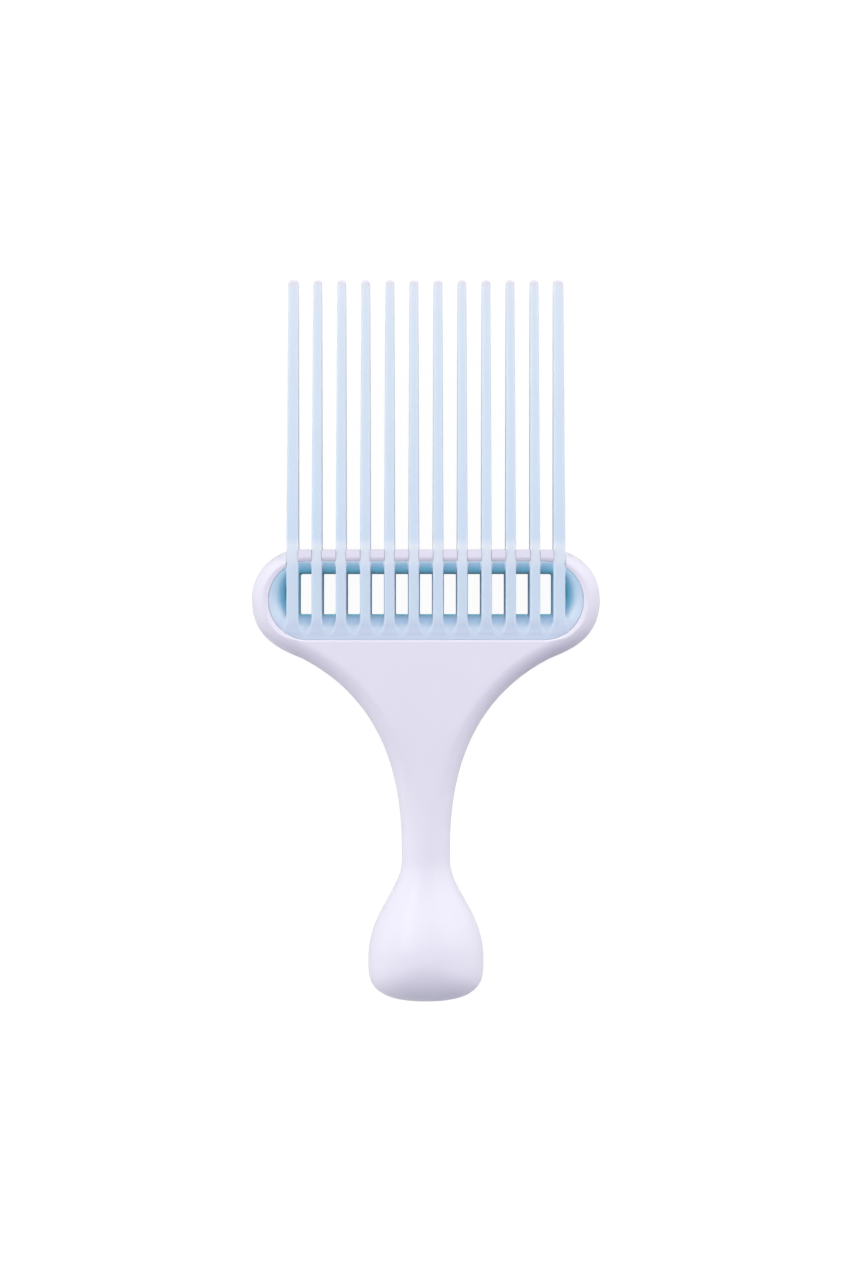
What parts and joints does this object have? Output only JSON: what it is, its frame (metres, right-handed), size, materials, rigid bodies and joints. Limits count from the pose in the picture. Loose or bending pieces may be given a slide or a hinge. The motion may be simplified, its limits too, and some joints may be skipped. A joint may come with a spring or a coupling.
{
  "type": "afro pick",
  "caption": "Hair pick with long straight blade teeth across an open window, in a flared head on a slim neck that ends in a rounded bulb grip.",
  "frame": {"origin": "centre of the object's footprint, on the plane that its back lies on", "axes": "+Y along the teeth towards their tips, +X across the head, +Z out of the front face that the picture shows"},
  "size_m": [0.087, 0.18, 0.016],
  "materials": {
    "handle_plastic": "glossy pale lavender",
    "comb_plastic": "glossy pale blue"
  },
  "bodies": {
    "root": {"front_shell": "handle_plastic", "rear_shell": "handle_plastic", "comb_insert": "comb_plastic"}
  },
  "joints": []
}
